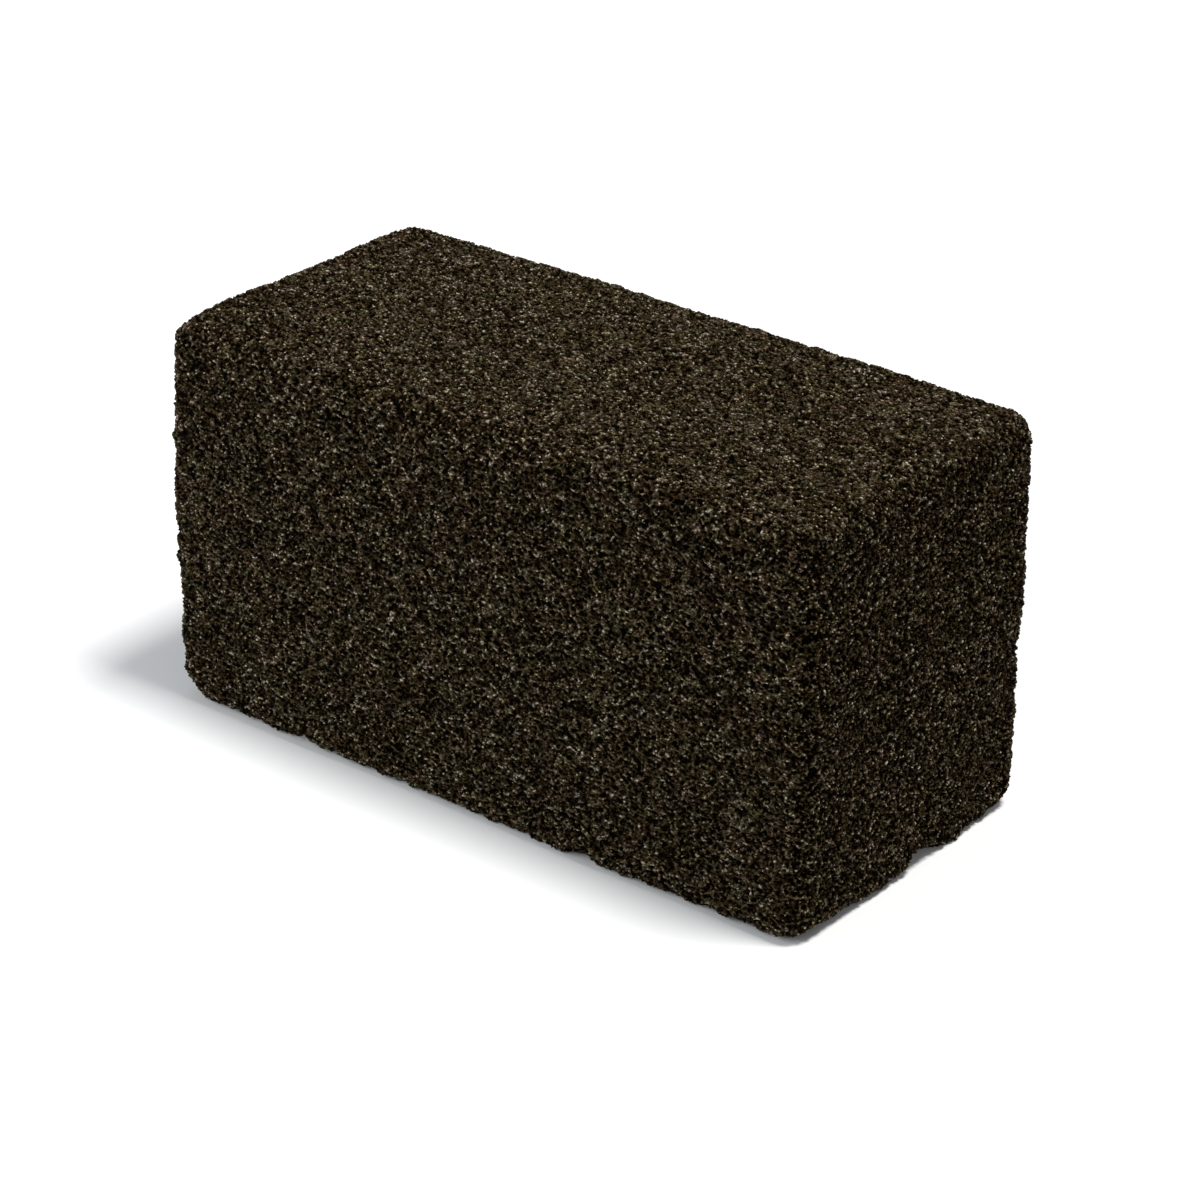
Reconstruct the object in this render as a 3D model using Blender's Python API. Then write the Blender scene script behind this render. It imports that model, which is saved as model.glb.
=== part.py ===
"""Foamed-glass griddle brick, standing on one of its long narrow sides.

The whole object is one block, sawn from a loaf of black foamed glass.  Its
edges are worn round, the lower ones a little less, and its eight corners are
worn further than its edges.  Gas bubbles that the saw cut open leave blow
holes in its faces, and bits have broken off its edges and corners.

X runs along the block, Y across it and Z up.  The origin is at the middle of
the side that the block stands on.  All sizes are in metres.
"""

import math

import bmesh
import bpy
from mathutils import Matrix, Vector

# The block
LENGTH = 0.195
WIDTH = 0.0915
HEIGHT = 0.104

# Worn edges
EDGE_RADIUS = 0.0055
FOOT_RADIUS = 0.0045
EDGE_STEPS = 5
FOOT_STEPS = 4

# Worn corners: CORNER_RADIUS is the radius of the ball that each one follows
# at its tip, and WEAR_RADIUS that of the softer form which wears it down
CORNER_RADIUS = 0.0070
WEAR_RADIUS = 0.014
WEAR_STEPS = 8

# Blow holes: spheres whose centres lie just under the face
HOLE_RADIUS = 0.0009
HOLE_RADIUS_SPREAD = 0.0006
HOLE_COVER = 0.25
HOLE_MARGIN = 0.004

# Broken edges: each bit that is missing leaves a shallow hollow
CHIP_STEPS = 2
SMALL_CHIP_RADIUS = 0.0065
SMALL_CHIP_DEPTH = 0.0011
WIDE_CHIP_RADIUS = 0.0120
WIDE_CHIP_DEPTH = 0.0026
CORNER_CHIP_RADIUS = 0.0100
CORNER_CHIP_DEPTH = 0.0018

# Even sequence that spreads the blow holes over the faces.  It starts where
# the middle of every face stays whole, so that each face can be rested on.
SPREAD_START = 14
SPREAD_ACROSS = 0.7549
SPREAD_UP = 0.5698
SPREAD_SIZE = 0.6180

# Each face: its outward axis and how many blow holes it has
FACES = {
    "top": ((0, 0, 1), 4),
    "front": ((0, -1, 0), 4),
    "right_end": ((1, 0, 0), 2),
    "back": ((0, 1, 0), 4),
    "left_end": ((-1, 0, 0), 2),
    "underside": ((0, 0, -1), 3),
}

# Each chip: the edge or corner it is on, as outward signs, its place along
# that edge from -1 to 1, and its size
CHIPS = (
    ((1, 0, -1), 0.14, "wide"),
    ((-1, -1, -1), 0.0, "corner"),
    ((-1, 1, 1), 0.0, "corner"),
    ((0, -1, -1), -0.62, "small"),
    ((0, -1, -1), 0.36, "small"),
    ((1, 0, -1), -0.62, "small"),
    ((-1, 0, -1), 0.30, "small"),
    ((0, 1, -1), -0.24, "wide"),
    ((0, 1, -1), 0.55, "small"),
    ((0, 1, 1), 0.70, "small"),
    ((1, 1, 0), -0.20, "small"),
    ((-1, 1, 0), 0.42, "small"),
)
CHIP_SIZES = {
    "small": (SMALL_CHIP_RADIUS, SMALL_CHIP_DEPTH),
    "wide": (WIDE_CHIP_RADIUS, WIDE_CHIP_DEPTH),
    "corner": (CORNER_CHIP_RADIUS, CORNER_CHIP_DEPTH),
}

# How far outside the block's faces the wearing form's faces lie, so that it
# reaches only the corners
WEAR_CLEARANCE = (1 - 1 / math.sqrt(3)) * (WEAR_RADIUS - CORNER_RADIUS)

HALF = Vector((LENGTH / 2, WIDTH / 2, HEIGHT / 2))
MIDDLE = Vector((0.0, 0.0, HEIGHT / 2))


def clear_scene():
    """Remove every object that the scene starts with."""
    for item in list(bpy.data.objects):
        bpy.data.objects.remove(item, do_unlink=True)


def new_collection(name):
    """A collection of this name, linked to the scene."""
    made = bpy.data.collections.new(name)
    bpy.context.scene.collection.children.link(made)
    return made


def new_object(name, bm, collection):
    """An object made from a bmesh, which is used up."""
    mesh = bpy.data.meshes.new(name)
    bm.to_mesh(mesh)
    bm.free()
    made = bpy.data.objects.new(name, mesh)
    collection.objects.link(made)
    return made


def round_over(bm, edges, radius, steps):
    """Round these edges to a radius."""
    bmesh.ops.bevel(
        bm,
        geom=edges,
        offset=radius,
        offset_type="OFFSET",
        segments=steps,
        profile=0.5,
        affect="EDGES",
        clamp_overlap=False,
    )


def on_base(edge):
    """True for an edge that lies in the plane the block stands on."""
    return all(abs(corner.co.z) < EDGE_RADIUS / 100 for corner in edge.verts)


def sharp_box(sides):
    """A box with sharp edges, round the middle of the block."""
    bm = bmesh.new()
    matrix = Matrix.Translation(MIDDLE) @ Matrix.Diagonal((*sides, 1.0))
    bmesh.ops.create_cube(bm, size=1.0, matrix=matrix)
    return bm


def make_block(collection):
    """The sawn block with its worn edges, and still without holes or chips."""
    bm = sharp_box((LENGTH, WIDTH, HEIGHT))
    upper_and_upright = [edge for edge in bm.edges if not on_base(edge)]
    round_over(bm, upper_and_upright, EDGE_RADIUS, EDGE_STEPS)
    lower = [edge for edge in bm.edges if on_base(edge)]
    round_over(bm, lower, FOOT_RADIUS, FOOT_STEPS)
    return new_object("foam_glass_block", bm, collection)


def make_wearing_form(collection):
    """A larger, softer block: only the corners of the brick stick out of it."""
    bm = sharp_box([side + 2 * WEAR_CLEARANCE for side in (LENGTH, WIDTH, HEIGHT)])
    round_over(bm, list(bm.edges), WEAR_RADIUS, WEAR_STEPS)
    form = new_object("wearing_form", bm, collection)
    form.hide_render = True
    form.display_type = "WIRE"
    return form


def make_ball(name, centre, radius, collection):
    """A faceted ball, as a cutter."""
    bm = bmesh.new()
    bmesh.ops.create_icosphere(
        bm, subdivisions=CHIP_STEPS, radius=radius, matrix=Matrix.Translation(centre)
    )
    ball = new_object(name, bm, collection)
    ball.hide_render = True
    ball.display_type = "WIRE"
    return ball


def edge_radius(signs):
    """The radius of the worn edge or corner that these outward signs name."""
    if all(signs):
        return CORNER_RADIUS
    return FOOT_RADIUS if signs[2] < 0 else EDGE_RADIUS


def edge_point(signs, along):
    """The middle of a worn edge or corner, and the direction straight out of it."""
    outward = Vector(signs).normalized()
    radius = edge_radius(signs)
    point = MIDDLE + radius * outward
    for axis, sign in enumerate(signs):
        reach = HALF[axis] - (radius if sign else EDGE_RADIUS)
        point[axis] += reach * (sign if sign else along)
    return point, outward


def make_chips(collection):
    """The balls that cut what has broken off the edges and corners."""
    for number, (signs, along, size) in enumerate(CHIPS):
        radius, depth = CHIP_SIZES[size]
        point, outward = edge_point(signs, along)
        centre = point + outward * (radius - depth)
        make_ball(f"chip_{number + 1}", centre, radius, collection)


def face_point(axis, across, up):
    """A point of a face, from two fractions of its flat part, each 0 to 1."""
    normal = Vector(axis)
    point = MIDDLE.copy()
    shares = iter((across, up))
    for n in range(3):
        if axis[n]:
            point[n] += axis[n] * HALF[n]
        else:
            flat = HALF[n] - EDGE_RADIUS - HOLE_MARGIN
            point[n] += flat * (2 * next(shares) - 1)
    return point, normal


def make_blow_holes(collection):
    """The balls that cut the open bubbles, spread evenly over each face."""
    spot = SPREAD_START
    for face, (axis, count) in FACES.items():
        for number in range(count):
            spot += 1
            across = spot * SPREAD_ACROSS % 1
            up = spot * SPREAD_UP % 1
            radius = HOLE_RADIUS + HOLE_RADIUS_SPREAD * (spot * SPREAD_SIZE % 1)
            point, normal = face_point(axis, across, up)
            centre = point - normal * radius * HOLE_COVER
            make_ball(f"blow_hole_{face}_{number + 1}", centre, radius, collection)


def cut(block, name, cutters, operation="DIFFERENCE"):
    """Cut every shape of a collection out of the block, or keep what is inside it."""
    boolean = block.modifiers.new(name, "BOOLEAN")
    boolean.operation = operation
    boolean.operand_type = "COLLECTION"
    boolean.collection = cutters
    boolean.solver = "EXACT"


def black_foam_glass():
    """Brown-black glass foam: dull as a whole, with a glassy glint."""
    material = bpy.data.materials.new("black_foam_glass")
    material.use_nodes = True
    shader = material.node_tree.nodes["Principled BSDF"]
    shader.inputs["Base Color"].default_value = (0.040, 0.032, 0.021, 1.0)
    shader.inputs["Roughness"].default_value = 0.62
    shader.inputs["Metallic"].default_value = 0.0
    material.diffuse_color = (0.040, 0.032, 0.021, 1.0)
    return material


def main():
    """Build the brick."""
    clear_scene()
    brick = new_collection("griddle_brick")
    wear = new_collection("corner_wear")
    chips = new_collection("chip_cutters")
    blow_holes = new_collection("blow_hole_cutters")
    block = make_block(brick)
    block.data.materials.append(black_foam_glass())
    block.data.shade_smooth()
    make_wearing_form(wear)
    make_chips(chips)
    make_blow_holes(blow_holes)
    cut(block, "worn corners", wear, "INTERSECT")
    cut(block, "broken edges", chips)
    cut(block, "open bubbles", blow_holes)


main()
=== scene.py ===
"""Looks of a foamed-glass griddle brick, laid out as an add-on and run as a script.

The brick is one block of open-pored foam.  Its skin is worked out face by face
and split into ten wedges that meet at the middle of the block.  Neighbouring
wedges share their edges point for point, so together they close the block.
"""

import itertools
import math

import bpy
import numpy as np
from mathutils import Euler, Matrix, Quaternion, Vector


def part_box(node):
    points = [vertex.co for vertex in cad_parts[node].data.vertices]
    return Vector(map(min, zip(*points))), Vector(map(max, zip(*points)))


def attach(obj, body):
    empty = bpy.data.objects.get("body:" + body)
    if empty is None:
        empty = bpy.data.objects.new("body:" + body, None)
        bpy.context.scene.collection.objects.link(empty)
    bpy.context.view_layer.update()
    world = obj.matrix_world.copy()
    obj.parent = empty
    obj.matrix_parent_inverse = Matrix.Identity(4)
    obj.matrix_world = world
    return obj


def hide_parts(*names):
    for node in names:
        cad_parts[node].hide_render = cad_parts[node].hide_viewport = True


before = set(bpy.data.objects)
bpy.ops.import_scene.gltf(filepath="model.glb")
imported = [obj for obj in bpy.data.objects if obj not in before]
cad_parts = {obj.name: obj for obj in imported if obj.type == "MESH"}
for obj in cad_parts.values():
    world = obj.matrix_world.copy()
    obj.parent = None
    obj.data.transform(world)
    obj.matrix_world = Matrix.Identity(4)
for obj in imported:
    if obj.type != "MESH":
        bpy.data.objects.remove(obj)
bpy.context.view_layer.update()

bl_info = {
    "name": "Griddle brick",
    "version": (1, 0, 0),
    "blender": (4, 5, 0),
    "location": "3D View > Sidebar > Griddle brick",
    "description": "Makes the skin of a foamed-glass griddle brick and a plain studio round it",
    "category": "Object",
}

NODE = "foam_glass_block"
BODY = "root"
SLOT = "black_foam_glass"

LOW, HIGH = (np.array(corner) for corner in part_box(NODE))
CENTRE = (LOW + HIGH) / 2
HALF = (HIGH - LOW) / 2

EIGHTH_TURN = math.pi / 4
TINY = 1e-9
MILLIMETRE = 0.001
PORE_DEPTH = "pore_depth"

# Colour of the glass at each brightness, from painted shade at the floor of a pore to a pale speck of
# ground glass on a rim, whose palest stops also paint glints
GLASS_RAMP = (
    (0.02, (0.0002, 0.0001, 0.0000)),
    (0.25, (0.0018, 0.0008, 0.0001)),
    (0.50, (0.0220, 0.0141, 0.0053)),
    (0.72, (0.064, 0.050, 0.0285)),
    (0.88, (0.148, 0.124, 0.085)),
    (1.00, (0.37, 0.327, 0.255)),
)

# The glass's brightness, on the scale of the stops above: on a plain wall, and how
# much the speckle, the painted shade at the bottom of a pore and a painted glint add to it or take
# from it
WALL_BRIGHTNESS = 0.70
SPECKLE_GAIN = 1.9
# Painted shade: how much darker the colour gets at the bottom of a pore
PAINTED_PORE_SHADE = 0.9
GLINT_PAINT_GAIN = 0.45
# Painted glints, bright middles of grains that stand in for light caught by glassy facets: the random
# shares of the grains that have one, from none to full, and the distances from a grain's middle over
# which its painted glint fades
GLINT_PAINT_CHANCE = (0.5, 1.0)
GLINT_PAINT_REACH = (0.15, 0.5)

# Patches of tint: least share of each of red, green and blue, and how much more at most
TINT_BASE = (0.8, 0.85, 0.7)
TINT_GAIN = (0.4, 0.3, 0.6)

# Brightness over which the glass turns smoother, and over which its coat comes in
SMOOTHER = (0.3, 1.0)
PORE_ROUGHNESS = 0.6
COATED = (0.7, 1.1)
COAT_WEIGHT = 0.25
COAT_ROUGHNESS = 0.3
BUMP_STRENGTH = 0.8
BUMP_HEIGHT = 0.0003
NOISE_ROUGHNESS = 0.6

# Random numbers for the bubbles, four for each cell of a lattice that repeats
DICE_SIDE = 64
DICE = np.random.default_rng(20).random((DICE_SIDE,) * 3 + (4,))
# Sets the fine bubbles' numbers apart from the large ones'
FINE_SALT = 7

# The bubbles' lattice is turned, so that no face runs along its rows, and a bubble
# strays from the middle of its cell by up to half this share of the cell's side
LATTICE_TURN = np.array(Euler((0.7, 0.5, 0.3)).to_matrix())
JITTER = 0.65

# Waves in the faces and lumps along the edges: shortest and longest, their number
# and the seed of their directions
SAW_WAVES = (0.025, 0.08, 10, 3)
EDGE_LUMPS = (0.004, 0.010, 24, 4)

# The UV map: how far the grid reaches from the middle of the map, and how much
# further out the walls lie
MAP_REACH = 0.49
WALL_BAND = 1.015

# How far each edge, named by its outward signs, stands outside a plain round one:
# millimetres at its start, middle and end
EDGE_SHAPE = (
    ((0, -1, -1), (-0.2, 0.8, 0.1)),
    ((1, 0, -1), (-1.5, 1.0, -0.2)),
    ((-1, 0, -1), (0.2, 0.5, 0.2)),
    ((0, 1, -1), (0.2, 0.5, 0.2)),
    ((-1, -1, 0), (-0.4, 0.5, -1.2)),
    ((-1, 0, 1), (-1.5, -0.6, -1.6)),
    ((0, 1, 1), (-0.6, 0.2, -1.1)),
    ((1, 1, 0), (-0.6, 0.4, -1.5)),
)

# Each chip: its edge or corner, its place along that edge from -1 to 1, its size
CHIPS = (
    ((1, 0, -1), 0.14, "wide"),
    ((-1, -1, -1), 0.0, "corner"),
    ((-1, 1, 1), 0.0, "corner"),
    ((0, -1, -1), -0.62, "small"),
    ((0, -1, -1), 0.36, "small"),
    ((1, 0, -1), -0.62, "small"),
    ((-1, 0, -1), 0.30, "small"),
    ((0, 1, -1), -0.24, "wide"),
    ((0, 1, -1), 0.55, "small"),
    ((0, 1, 1), 0.70, "small"),
    ((0, -1, 1), 0.71, "pit"),
    ((1, 1, 0), -0.20, "small"),
    ((-1, 1, 0), 0.42, "small"),
)
# Radius and depth of the hollow that a chip leaves
CHIP_SIZES = {
    "small": (0.0065, 0.0011),
    "wide": (0.0120, 0.0026),
    "corner": (0.0100, 0.0018),
    "pit": (0.0010, 0.0017),
}

# How many blow holes the top, front, right end, back, left end and underside have
BLOW_HOLES = (
    ((0, 0, 1), 4),
    ((0, -1, 0), 4),
    ((1, 0, 0), 2),
    ((0, 1, 0), 4),
    ((-1, 0, 0), 2),
    ((0, 0, -1), 3),
)
# A hole's number times each of these, less its whole part, gives its two places on
# the face and its size
FIRST_HOLE = 15
HOLE_SHARES = (0.7549, 0.5698, 0.6180)
HOLE_RADIUS = 0.0009
HOLE_SPREAD = 0.0006
# Room kept between a hole and the worn edge, and how far a hole's middle lies below
# the face, as a share of its radius
HOLE_MARGIN = 0.004
HOLE_SINK = 0.25

# Each light: its name, place, size, power and colour
LIGHTS = (
    ("key", (0.66, 0.16, 2.30), 0.55, 55, (1, 0.99, 0.97)),
    ("fill", (-0.66, -0.64, 0.38), 0.7, 7.2, (0.94, 0.97, 1)),
    ("side", (1.00, 0.00, 0.35), 0.6, 0.85, (1, 0.99, 0.98)),
)
SKY_COLOUR = (0.93, 0.965, 1, 1)
SKY_STRENGTH = 0.33
FLOOR_REACH = 3.0
FLOOR_ROUGHNESS = 0.9
SENSOR_WIDTH = 36
CAMERA_SHIFT = (0.00908, -0.03422)


class BrickShape(bpy.types.PropertyGroup):
    """Outer form of the block."""

    edge_radius: bpy.props.FloatProperty(
        name="Edge radius", description="Radius that the sawn edges are worn to",
        default=0.0055, unit="LENGTH",
    )
    foot_radius: bpy.props.FloatProperty(
        name="Foot radius", description="Radius of the lower edges, which are worn less",
        default=0.0045, unit="LENGTH",
    )
    corner_radius: bpy.props.FloatProperty(
        name="Corner radius", description="Radius that the eight corners are worn to at their tips",
        default=0.0070, unit="LENGTH",
    )
    wear_radius: bpy.props.FloatProperty(
        name="Wear radius", description="Edge radius of the softer block that wears the corners down",
        default=0.014, unit="LENGTH",
    )
    spacing: bpy.props.FloatProperty(
        name="Mesh spacing", description="Distance between the points of the skin",
        default=0.00033, unit="LENGTH",
    )
    lift: bpy.props.FloatProperty(
        name="Lift", description="How far the rims of the pores stand outside the mean surface",
        default=0.0004, unit="LENGTH",
    )
    swell: bpy.props.FloatProperty(
        name="Swell", description="Height of the long slow waves that sawing left in the faces",
        default=0.00022, unit="LENGTH",
    )
    ragged: bpy.props.FloatProperty(
        name="Ragged edge", description="Height of the lumps along the worn edges",
        default=0.00025, unit="LENGTH",
    )


class FoamPores(bpy.types.PropertyGroup):
    """Open gas bubbles in the skin."""

    pitch: bpy.props.FloatProperty(
        name="Pore pitch", description="Mean distance between bubbles",
        default=0.00092, unit="LENGTH",
    )
    radius: bpy.props.FloatProperty(
        name="Pore radius", description="Radius of a middling bubble",
        default=0.00056, unit="LENGTH",
    )
    spread: bpy.props.FloatProperty(
        name="Pore spread", description="How much a bubble's radius differs from the middling one",
        default=0.35, subtype="FACTOR",
    )
    depth: bpy.props.FloatProperty(
        name="Pore depth", description="Deepest that a pore shows",
        default=0.0012, unit="LENGTH",
    )
    stretch: bpy.props.FloatProperty(
        name="Pore stretch", description="How much longer a bubble is along the block than across it",
        default=1.35,
    )
    fine_pitch: bpy.props.FloatProperty(
        name="Fine pore pitch", description="Mean distance between the fine bubbles in the walls",
        default=0.0006, unit="LENGTH",
    )
    fine_radius: bpy.props.FloatProperty(
        name="Fine pore radius", description="Radius of a fine bubble",
        default=0.00032, unit="LENGTH",
    )


class GlassFinish(bpy.types.PropertyGroup):
    """Colours and gloss of the glass."""

    roughness: bpy.props.FloatProperty(
        name="Roughness", description="Roughness of the brightest glass",
        default=0.40, subtype="FACTOR",
    )
    gloss: bpy.props.FloatProperty(
        name="Gloss", description="Strength of the glass's reflections",
        default=0.01, subtype="FACTOR",
    )
    tint_size: bpy.props.FloatProperty(
        name="Tint size", description="Distance between patches of slightly different colour",
        default=0.0045, unit="LENGTH",
    )
    # The speck size also spaces the grains that carry painted glints
    speck_size: bpy.props.FloatProperty(
        name="Speck size", description="Distance between the specks of ground glass",
        default=0.00066, unit="LENGTH",
    )


class Studio(bpy.types.PropertyGroup):
    """Floor, lights and camera."""

    azimuth: bpy.props.FloatProperty(
        name="Azimuth", description="Where the camera stands round the brick",
        default=math.radians(38.09), subtype="ANGLE",
    )
    elevation: bpy.props.FloatProperty(
        name="Elevation", description="How high the camera looks down from",
        default=math.radians(26.14), subtype="ANGLE",
    )
    roll: bpy.props.FloatProperty(
        name="Roll", description="How far the camera leans to its left",
        default=math.radians(0.69), subtype="ANGLE",
    )
    distance: bpy.props.FloatProperty(
        name="Distance", description="From the camera to the middle of the brick",
        default=0.8966, unit="LENGTH",
    )
    lens: bpy.props.FloatProperty(
        name="Lens", description="Focal length in millimetres", default=110.15,
    )
    floor_colour: bpy.props.FloatVectorProperty(
        name="Floor", description="Colour of the floor",
        default=(0.88, 0.88, 0.88), subtype="COLOR", size=3,
    )


def settings():
    """The property groups, where the panel shows them."""
    scene = bpy.context.scene
    return scene.brick_shape, scene.brick_pores, scene.brick_glass, scene.brick_studio


def stations(half, radius, spacing):
    """Places along one axis, from one worn edge of the block to the other.

    Steps are even in arc length.  On the flat the place runs and the turn is 0;
    round an edge the place waits at the end of the flat while the turn runs up
    to an eighth of a circle.  One step more at each end serves the normals.
    """
    flat = half - radius
    reach = flat + radius * EIGHTH_TURN
    count = round(reach / spacing)
    along = np.arange(-count - 1, count + 2) * (reach / count)
    place = np.clip(along, -flat, flat)
    return place, (along - place) / radius


def face_axes(outward_axis):
    """The face's two running axes and its outward axis, as a right-handed set."""
    normal = int(np.argmax(np.abs(outward_axis)))
    first, second = (normal + 1) % 3, (normal + 2) % 3
    if outward_axis[normal] < 0:
        first, second = second, first
    return first, second, normal


def plain_face(outward_axis, shape):
    """Points of one face of the round-edged block, and the directions out of it.

    A point is its place on the inner box plus the radius times the direction
    (tan of one turn, tan of the other, 1), brought to length one.
    """
    first, second, normal = face_axes(outward_axis)
    radius = shape.edge_radius
    place_1, turn_1 = stations(HALF[first], radius, shape.spacing)
    place_2, turn_2 = stations(HALF[second], radius, shape.spacing)
    outward = np.zeros((len(place_1), len(place_2), 3))
    outward[..., first] = np.tan(turn_1)[:, None]
    outward[..., second] = np.tan(turn_2)[None, :]
    outward[..., normal] = outward_axis[normal]
    outward /= np.linalg.norm(outward, axis=2, keepdims=True)
    points = radius * outward
    points[..., first] += place_1[:, None]
    points[..., second] += place_2[None, :]
    points[..., normal] += outward_axis[normal] * (HALF[normal] - radius)
    return points + CENTRE, outward


def edge_share(outward, signs):
    """1 in the middle of the edge or corner that the signs name, falling to 0 at its faces.

    It is the square of the product of the direction's parts, over its most.
    """
    parts = [np.clip(sign * outward[..., axis], 0, 1) for axis, sign in enumerate(signs) if sign]
    most = len(parts) ** (-len(parts) / 2)
    return (math.prod(parts) / most) ** 2


def along_edge(points, signs, amounts):
    """The parabola through an edge's three amounts, which lie at its start, middle and end."""
    axis = signs.index(0)
    way = (points[..., axis] - CENTRE[axis]) / HALF[axis]
    start, middle, end = amounts
    return start * way * (way - 1) / 2 + middle * (1 - way**2) + end * way * (way + 1) / 2


def worn_corners(points, shape):
    """The points, with what sticks out of a larger and softer block brought back onto it.

    That block's edges have the wear radius.  Its faces lie outside the brick's, so
    that only the corners reach it and end up with the corner radius at their tips.
    """
    clearance = (1 - 1 / math.sqrt(3)) * (shape.wear_radius - shape.corner_radius)
    place = points - CENTRE
    past = np.maximum(np.abs(place) - (HALF + clearance - shape.wear_radius), 0)
    reach = np.maximum(np.linalg.norm(past, axis=-1, keepdims=True), TINY)
    return points - np.sign(place) * past / reach * np.maximum(reach - shape.wear_radius, 0)


def any_edge(outward):
    """1 in the middle of any edge or corner and 0 on the flats."""
    squares = outward**2
    return np.clip(2 * (1 - np.max(squares, axis=2)), 0, 1)


def waves(points, shortest, longest, count, seed):
    """Smooth waves: sines in many directions, their lengths between the two, with an rms of one."""
    rng = np.random.default_rng(seed)
    total = np.zeros(points.shape[:-1])
    for _ in range(count):
        direction = rng.normal(size=3)
        direction /= np.linalg.norm(direction)
        length = shortest * (longest / shortest) ** rng.random()
        phase = rng.random()
        total += np.sin(2 * math.pi * (points @ direction / length + phase))
    return total * math.sqrt(2 / count)


def edge_point(signs, along, shape):
    """The middle of a worn edge or corner, and the direction straight out of it."""
    signs = np.array(signs, float)
    outward = signs / np.linalg.norm(signs)
    radius = shape.foot_radius if signs[2] < 0 else shape.edge_radius
    if all(signs):
        radius = shape.corner_radius
    reach = HALF - np.where(signs != 0, radius, shape.edge_radius)
    return CENTRE + radius * outward + reach * np.where(signs != 0, signs, along), outward


def chip_balls(shape):
    """Centre and radius of each ball that a chip hollows out."""
    for signs, along, size in CHIPS:
        radius, depth = CHIP_SIZES[size]
        point, outward = edge_point(signs, along, shape)
        yield point + outward * (radius - depth), radius


def blow_hole_balls(shape):
    """Centre and radius of each blow hole, spread over the faces as in the solid block."""
    numbers = itertools.count(FIRST_HOLE)
    flat = HALF - shape.edge_radius - HOLE_MARGIN
    for axis, count in BLOW_HOLES:
        normal = np.array(axis, float)
        for number in itertools.islice(numbers, count):
            *places, size = (number * share % 1 for share in HOLE_SHARES)
            places = iter(places)
            across = [0 if part else 2 * next(places) - 1 for part in axis]
            point = CENTRE + HALF * normal + flat * across
            radius = HOLE_RADIUS + HOLE_SPREAD * size
            yield point - normal * radius * HOLE_SINK, radius


def hollowed(points, outward, centre, radius):
    """How deep a ball cuts below each point, along the direction into the block.

    For a point inside the ball it is the way to the ball's far side: the rise
    over the centre plus the root of (rise squared plus what is left inside).
    """
    offset = points - centre
    rise = (offset * outward).sum(-1)
    inside = radius**2 - (offset**2).sum(-1)
    depth = rise + np.sqrt(np.maximum(rise**2 + inside, 0))
    return np.where(inside > 0, depth, 0)


def bubbles(points, outward, pitch, radius, pores, salt):
    """How deep the bubbles of a scattered lattice cut below each point.

    Each cell of the lattice holds one ball at a random place and of random size,
    and the depth is the greatest that a ball of the cells round a point gives.
    The lattice is worked out in a space that is squeezed along the block, so that
    its balls come out longer that way.
    """
    squeeze = np.array((1 / pores.stretch, 1, 1))
    outward = outward * squeeze
    shrink = np.linalg.norm(outward, axis=-1)
    outward = outward / shrink[..., None] @ LATTICE_TURN
    points = points * squeeze @ LATTICE_TURN
    cell = np.floor(points / pitch).astype(int) + salt
    depth = np.zeros(points.shape[:-1])
    for step in itertools.product((-1, 0, 1), repeat=3):
        at = cell + step
        dice = DICE[tuple(np.moveaxis(at % DICE_SIDE, -1, 0))]
        centre = (at - salt + 0.5 + JITTER * (dice[..., :3] - 0.5)) * pitch
        size = radius * (1 + pores.spread * (2 * dice[..., 3] - 1))
        depth = np.maximum(hollowed(points, outward, centre, size), depth)
    return depth / shrink


def foam_face(outward_axis, shape, pores):
    """Points of one face with worn edges, chips, blow holes and pores, and how deep they lie.

    Each step moves the plain face's points along their directions: the edges'
    changes, the corners' wear, the lift of the rims, the waves and lumps, the
    hollows, and last the pores, whose depth levels off at the deepest.
    """
    points, outward = plain_face(outward_axis, shape)
    for signs, amounts in EDGE_SHAPE:
        amount = MILLIMETRE * along_edge(points, signs, amounts) * edge_share(outward, signs)
        points += outward * amount[..., None]
    points = worn_corners(points, shape)
    lift = shape.lift + shape.swell * waves(points, *SAW_WAVES)
    lift += shape.ragged * any_edge(outward) * waves(points, *EDGE_LUMPS)
    points += outward * lift[..., None]
    for centre, radius in itertools.chain(chip_balls(shape), blow_hole_balls(shape)):
        points -= outward * hollowed(points, outward, centre, radius)[..., None]
    deep = bubbles(points, outward, pores.pitch, pores.radius, pores, 0)
    fine = bubbles(points, outward, pores.fine_pitch, pores.fine_radius, pores, FINE_SALT)
    depth = np.maximum(deep, fine)
    depth = pores.depth * np.tanh(depth / pores.depth)
    points -= outward * depth[..., None]
    points[..., 2] = np.maximum(points[..., 2], LOW[2])
    return points, depth / pores.depth


def grid_normals(points):
    """Unit normals of a grid of points, from the steps to the neighbours on both sides."""
    along = points[2:, 1:-1] - points[:-2, 1:-1]
    across = points[1:-1, 2:] - points[1:-1, :-2]
    normals = np.cross(along, across)
    return normals / np.linalg.norm(normals, axis=2, keepdims=True)


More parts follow.
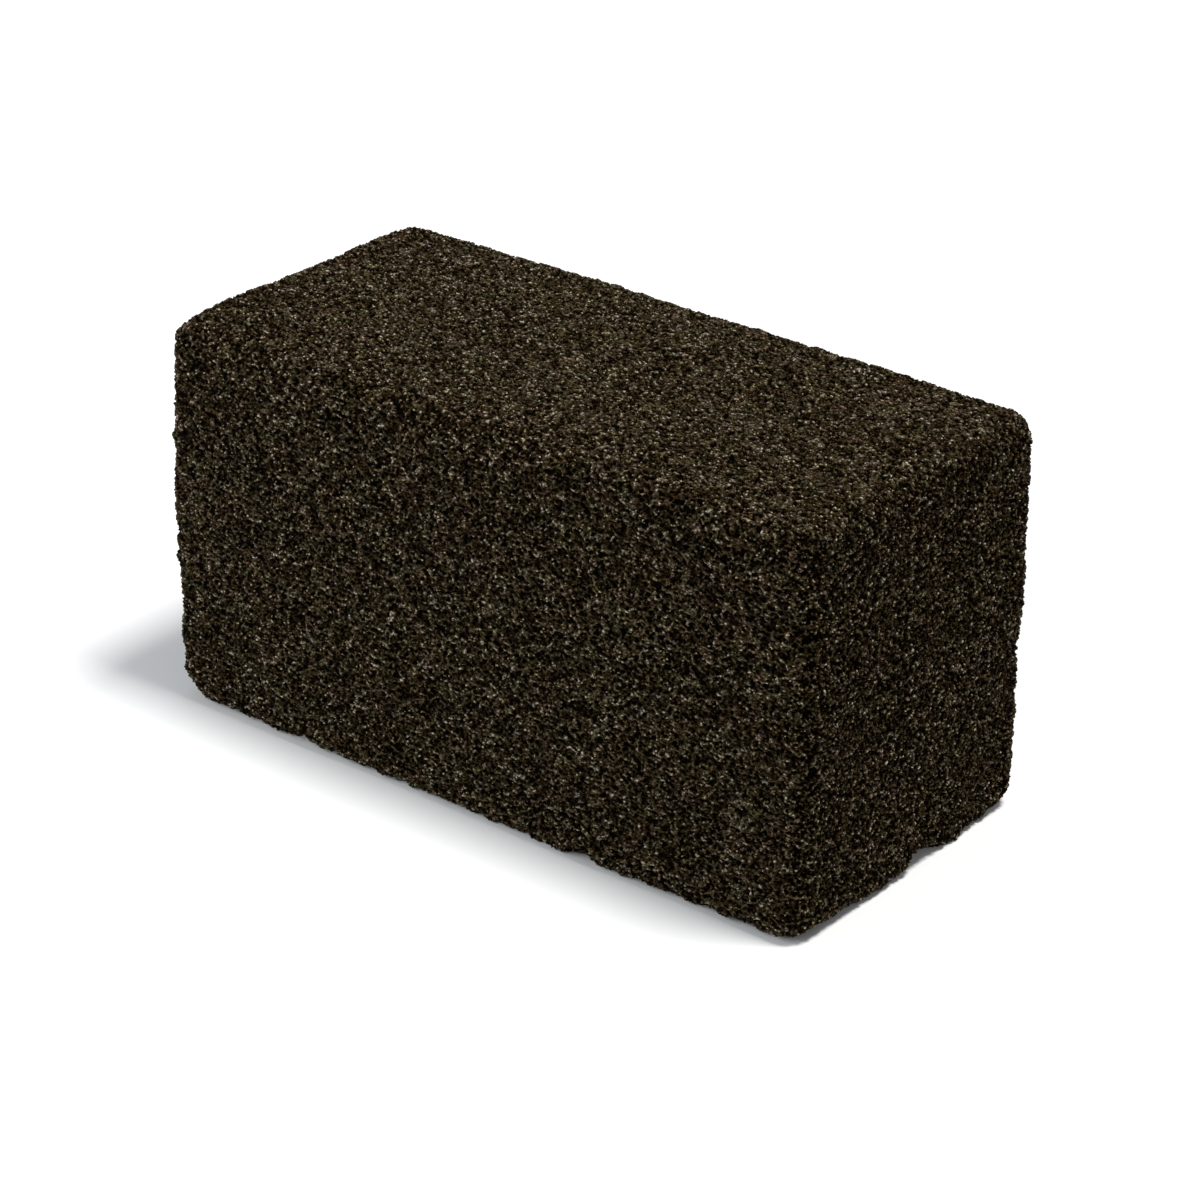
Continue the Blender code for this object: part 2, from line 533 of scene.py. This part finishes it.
def wedge_mesh(name, points, normals, depth):
    """A grid of points as a mesh, closed by walls that run to the middle of the block.

    Its UV map lays the grid out as it is, and the walls in a thin band round it.
    """
    rows, columns = points.shape[:2]
    index = np.arange(rows * columns).reshape(rows, columns)
    quads = np.stack([index[:-1, :-1], index[1:, :-1], index[1:, 1:], index[:-1, 1:]], -1)
    quads = quads.reshape(-1, 4)
    rim = np.concatenate([index[:-1, 0], index[-1, :-1], index[:0:-1, -1], index[0, :0:-1]])
    middle = np.full(len(rim), rows * columns)
    walls = np.stack([np.roll(rim, -1), rim, middle], -1)
    vertices = np.vstack([points.reshape(-1, 3), CENTRE])
    corners = np.concatenate([quads.ravel(), walls.ravel()])
    wall_starts = quads.size + 3 * np.arange(len(walls))
    starts = np.concatenate([4 * np.arange(len(quads)), wall_starts])
    mesh = bpy.data.meshes.new(name)
    mesh.vertices.add(len(vertices))
    mesh.vertices.foreach_set("co", vertices.ravel())
    mesh.loops.add(len(corners))
    mesh.loops.foreach_set("vertex_index", corners)
    mesh.polygons.add(len(starts))
    mesh.polygons.foreach_set("loop_start", starts)
    mesh.update(calc_edges=True)
    mesh.shade_smooth()
    layer = mesh.attributes.new(PORE_DEPTH, "FLOAT", "POINT")
    layer.data.foreach_set("value", np.append(depth.ravel(), 1.0))
    mesh.normals_split_custom_set_from_vertices(np.vstack([normals.reshape(-1, 3), (0, 0, 1)]))

    # On the map, the middle of the block lies just outside the rim, once for each wall
    across, up = np.meshgrid(np.linspace(-1, 1, rows), np.linspace(-1, 1, columns), indexing="ij")
    spread = np.stack([across, up], -1).reshape(-1, 2)
    places = spread[corners % len(spread)]
    places[quads.size + 2 :: 3] = spread[walls[:, 1]] * WALL_BAND
    layer = mesh.uv_layers.new(name="OFBake")
    layer.data.foreach_set("uv", (0.5 + MAP_REACH * places).ravel())
    return mesh


def foam_glass():
    """Black foamed glass: brown-black walls, pores darkened by painted shade, and paler specks of
    ground glass with painted glints.
    """
    _, pores, glass, _ = settings()
    name = SLOT + "_finish"
    if name in bpy.data.materials:
        return bpy.data.materials[name]
    material = bpy.data.materials.new(name)
    material.use_nodes = True
    tree = material.node_tree
    shader = tree.nodes["Principled BSDF"]
    squeeze = tree.nodes.new("ShaderNodeMapping")
    squeeze.inputs["Scale"].default_value = (1 / pores.stretch, 1, 1)
    coordinates = tree.nodes.new("ShaderNodeTexCoord")
    tree.links.new(coordinates.outputs["Object"], squeeze.inputs["Vector"])
    place = squeeze.outputs["Vector"]

    bright = brightness(tree, place, glass)
    roughness = remap(tree, bright, SMOOTHER, (PORE_ROUGHNESS, glass.roughness))
    tree.links.new(stained(tree, coloured(tree, bright), place, glass), shader.inputs["Base Color"])
    tree.links.new(roughness, shader.inputs["Roughness"])
    tree.links.new(remap(tree, bright, COATED, (0.0, COAT_WEIGHT)), shader.inputs["Coat Weight"])
    shader.inputs["Coat Roughness"].default_value = COAT_ROUGHNESS
    shader.inputs["Specular IOR Level"].default_value = glass.gloss

    grain, _ = noise(tree, place, glass.speck_size / 2, detail=3)
    bump = tree.nodes.new("ShaderNodeBump")
    bump.inputs["Strength"].default_value = BUMP_STRENGTH
    bump.inputs["Distance"].default_value = BUMP_HEIGHT
    tree.links.new(grain, bump.inputs["Height"])
    tree.links.new(bump.outputs["Normal"], shader.inputs["Normal"])
    return material


def brightness(tree, place, glass):
    """How bright the glass is: a plain wall, plus random speckle and painted glints, less painted
    shade deeper in the pores.
    """
    depth = tree.nodes.new("ShaderNodeAttribute")
    depth.attribute_name = PORE_DEPTH
    speckle, _ = noise(tree, place, glass.speck_size, detail=2)
    speckle = math_node(tree, "SUBTRACT", speckle, 0.5)
    speckle = math_node(tree, "MULTIPLY", speckle, SPECKLE_GAIN)
    # Painted shade: the colour darkens with the depth of the pore, where its walls would shadow it
    shade = math_node(tree, "MULTIPLY", depth.outputs["Fac"], PAINTED_PORE_SHADE)
    bright = math_node(tree, "SUBTRACT", speckle, shade)
    bright = math_node(tree, "ADD", bright, WALL_BRIGHTNESS)
    return math_node(tree, "ADD", bright, painted_glints(tree, place, glass))


def painted_glints(tree, place, glass):
    """Painted glints on the bright middles of some grains: how near the middle is, times the grain's
    own strength.
    """
    grains = tree.nodes.new("ShaderNodeTexVoronoi")
    grains.inputs["Scale"].default_value = 1 / glass.speck_size
    tree.links.new(place, grains.inputs["Vector"])
    chance = tree.nodes.new("ShaderNodeSeparateColor")
    tree.links.new(grains.outputs["Color"], chance.inputs["Color"])
    strength = remap(tree, chance.outputs["Red"], GLINT_PAINT_CHANCE, (0.0, GLINT_PAINT_GAIN))
    near = remap(tree, grains.outputs["Distance"], GLINT_PAINT_REACH, (1.0, 0.0))
    return math_node(tree, "MULTIPLY", near, strength)


def coloured(tree, bright):
    """The colour of the glass at each brightness."""
    ramp = tree.nodes.new("ShaderNodeValToRGB")
    tree.links.new(bright, ramp.inputs["Fac"])
    marks = ramp.color_ramp.elements
    marks.remove(marks[-1])
    marks[0].position = GLASS_RAMP[0][0]
    for stop, _ in GLASS_RAMP[1:]:
        marks.new(stop)
    for mark, (_, colour) in zip(marks, GLASS_RAMP):
        mark.color = (*colour, 1)
    return ramp.outputs["Color"]


def stained(tree, colour, place, glass):
    """A colour times slow patches of tint."""
    _, patches = noise(tree, place, glass.tint_size, detail=1)
    tint = math_node(tree, "MULTIPLY_ADD", patches, TINT_GAIN, TINT_BASE, kind="ShaderNodeVectorMath")
    return math_node(tree, "MULTIPLY", colour, tint, kind="ShaderNodeVectorMath")


def noise(tree, place, size, detail):
    """Smooth noise whose lumps are about this far apart, as a value and as a colour."""
    node = tree.nodes.new("ShaderNodeTexNoise")
    node.inputs["Scale"].default_value = 1 / size
    node.inputs["Detail"].default_value = detail
    node.inputs["Roughness"].default_value = NOISE_ROUGHNESS
    tree.links.new(place, node.inputs["Vector"])
    return node.outputs["Fac"], node.outputs["Color"]


def math_node(tree, operation, *values, kind="ShaderNodeMath"):
    """The sum, product or other result of some values or vectors."""
    node = tree.nodes.new(kind)
    node.operation = operation
    for socket, value in zip(node.inputs, values):
        if isinstance(value, bpy.types.NodeSocket):
            tree.links.new(value, socket)
        else:
            socket.default_value = value
    return node.outputs[0]


def remap(tree, value, source, target):
    """A value moved smoothly from one range to another."""
    node = tree.nodes.new("ShaderNodeMapRange")
    node.interpolation_type = "SMOOTHSTEP"
    tree.links.new(value, node.inputs["Value"])
    for name, number in zip(("From Min", "From Max", "To Min", "To Max"), (*source, *target)):
        node.inputs[name].default_value = number
    return node.outputs["Result"]


def make_face(name, outward_axis, parts):
    """Make one face of the brick as one or more wedges, side by side along the block."""
    shape, pores, _, _ = settings()
    points, depth = foam_face(outward_axis, shape, pores)
    normals = grid_normals(points)
    points, depth = points[1:-1, 1:-1], depth[1:-1, 1:-1]
    first, _, _ = face_axes(outward_axis)
    long_way = 0 if first == 0 else 1
    count = points.shape[long_way] - 1
    for part, label in enumerate(parts):
        span = slice(part * count // len(parts), (part + 1) * count // len(parts) + 1)
        cut = (span, slice(None)) if long_way == 0 else (slice(None), span)
        mesh = wedge_mesh(name + label, points[cut], normals[cut], depth[cut])
        mesh.materials.append(foam_glass())
        piece = bpy.data.objects.new(name + label, mesh)
        bpy.context.scene.collection.objects.link(piece)
        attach(piece, BODY)
        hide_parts(NODE)


class BRICK_OT_broad_faces(bpy.types.Operator):
    """Make the two broad upright faces"""

    bl_idname = "griddle_brick.broad_faces"
    bl_label = "Broad faces"

    def execute(self, context):
        make_face("broad_front", (0, -1, 0), ("_left", "_right"))
        make_face("broad_back", (0, 1, 0), ("_left", "_right"))
        return {"FINISHED"}


class BRICK_OT_narrow_faces(bpy.types.Operator):
    """Make the top and the underside"""

    bl_idname = "griddle_brick.narrow_faces"
    bl_label = "Top and underside"

    def execute(self, context):
        make_face("top", (0, 0, 1), ("_left", "_right"))
        make_face("underside", (0, 0, -1), ("_left", "_right"))
        return {"FINISHED"}


class BRICK_OT_end_faces(bpy.types.Operator):
    """Make the two ends"""

    bl_idname = "griddle_brick.end_faces"
    bl_label = "Ends"

    def execute(self, context):
        make_face("end_right", (1, 0, 0), ("",))
        make_face("end_left", (-1, 0, 0), ("",))
        return {"FINISHED"}


def area_light(name, place, size, power, colour):
    """A square soft light that looks at the middle of the brick."""
    light = bpy.data.lights.new(name, "AREA")
    light.shape = "SQUARE"
    light.size = size
    light.energy = power
    light.color = colour
    lamp = bpy.data.objects.new(name, light)
    lamp.location = place
    lamp.rotation_euler = (Vector(CENTRE) - Vector(place)).to_track_quat("-Z", "Y").to_euler()
    bpy.context.scene.collection.objects.link(lamp)


class BRICK_OT_studio(bpy.types.Operator):
    """Make the floor, the lights and the camera"""

    bl_idname = "griddle_brick.studio"
    bl_label = "Studio"

    def execute(self, context):
        _, _, _, studio = settings()
        scene = context.scene
        scene.view_settings.view_transform = "Standard"
        mesh = bpy.data.meshes.new("floor")
        near, far = -FLOOR_REACH, FLOOR_REACH
        corners = [(near, near, 0), (far, near, 0), (far, far, 0), (near, far, 0)]
        mesh.from_pydata(corners, [], [(0, 1, 2, 3)])
        material = bpy.data.materials.new("studio_floor")
        material.use_nodes = True
        paint = material.node_tree.nodes["Principled BSDF"].inputs
        paint["Base Color"].default_value = (*studio.floor_colour, 1)
        paint["Roughness"].default_value = FLOOR_ROUGHNESS
        paint["Specular IOR Level"].default_value = 0.0
        mesh.materials.append(material)
        floor = bpy.data.objects.new("floor", mesh)
        scene.collection.objects.link(floor)

        world = bpy.data.worlds.new("studio")
        world.use_nodes = True
        sky = world.node_tree.nodes["Background"].inputs
        sky["Color"].default_value = SKY_COLOUR
        sky["Strength"].default_value = SKY_STRENGTH
        scene.world = world
        for light in LIGHTS:
            area_light(*light)

        camera = bpy.data.cameras.new("camera")
        camera.lens = studio.lens
        camera.sensor_width = SENSOR_WIDTH
        camera.shift_x, camera.shift_y = CAMERA_SHIFT
        turn, tilt = studio.azimuth, studio.elevation
        level = math.cos(tilt)
        back = Vector((math.sin(turn) * level, -math.cos(turn) * level, math.sin(tilt)))
        eye = bpy.data.objects.new("camera", camera)
        eye.location = Vector(CENTRE) + back * studio.distance
        lean = Quaternion((0, 0, 1), studio.roll)
        eye.rotation_euler = ((-back).to_track_quat("-Z", "Y") @ lean).to_euler()
        scene.collection.objects.link(eye)
        scene.camera = eye
        return {"FINISHED"}


class BRICK_PT_panel(bpy.types.Panel):
    """Settings and steps, in the order they are run."""

    bl_idname = "BRICK_PT_panel"
    bl_label = "Griddle brick"
    bl_space_type = "VIEW_3D"
    bl_region_type = "UI"
    bl_category = "Griddle brick"

    def draw(self, context):
        for group in settings():
            for name in group.__annotations__:
                self.layout.prop(group, name)
        for step in STEPS:
            self.layout.operator(step.bl_idname)


GROUPS = {
    "brick_shape": BrickShape,
    "brick_pores": FoamPores,
    "brick_glass": GlassFinish,
    "brick_studio": Studio,
}
STEPS = (BRICK_OT_broad_faces, BRICK_OT_narrow_faces, BRICK_OT_end_faces, BRICK_OT_studio)


def register():
    """Make the settings and the steps known to the program."""
    for group in GROUPS.values():
        bpy.utils.register_class(group)
    for name, group in GROUPS.items():
        setattr(bpy.types.Scene, name, bpy.props.PointerProperty(type=group))
    for step in STEPS:
        bpy.utils.register_class(step)
    bpy.utils.register_class(BRICK_PT_panel)


def unregister():
    """Take them away again, in the opposite order."""
    bpy.utils.unregister_class(BRICK_PT_panel)
    for step in reversed(STEPS):
        bpy.utils.unregister_class(step)
    for name in GROUPS:
        delattr(bpy.types.Scene, name)
    for group in reversed(GROUPS.values()):
        bpy.utils.unregister_class(group)


def main():
    """Make everything in order."""
    register()
    bpy.ops.griddle_brick.broad_faces()
    bpy.ops.griddle_brick.narrow_faces()
    bpy.ops.griddle_brick.end_faces()
    bpy.ops.griddle_brick.studio()


if __name__ == "__main__":
    main()
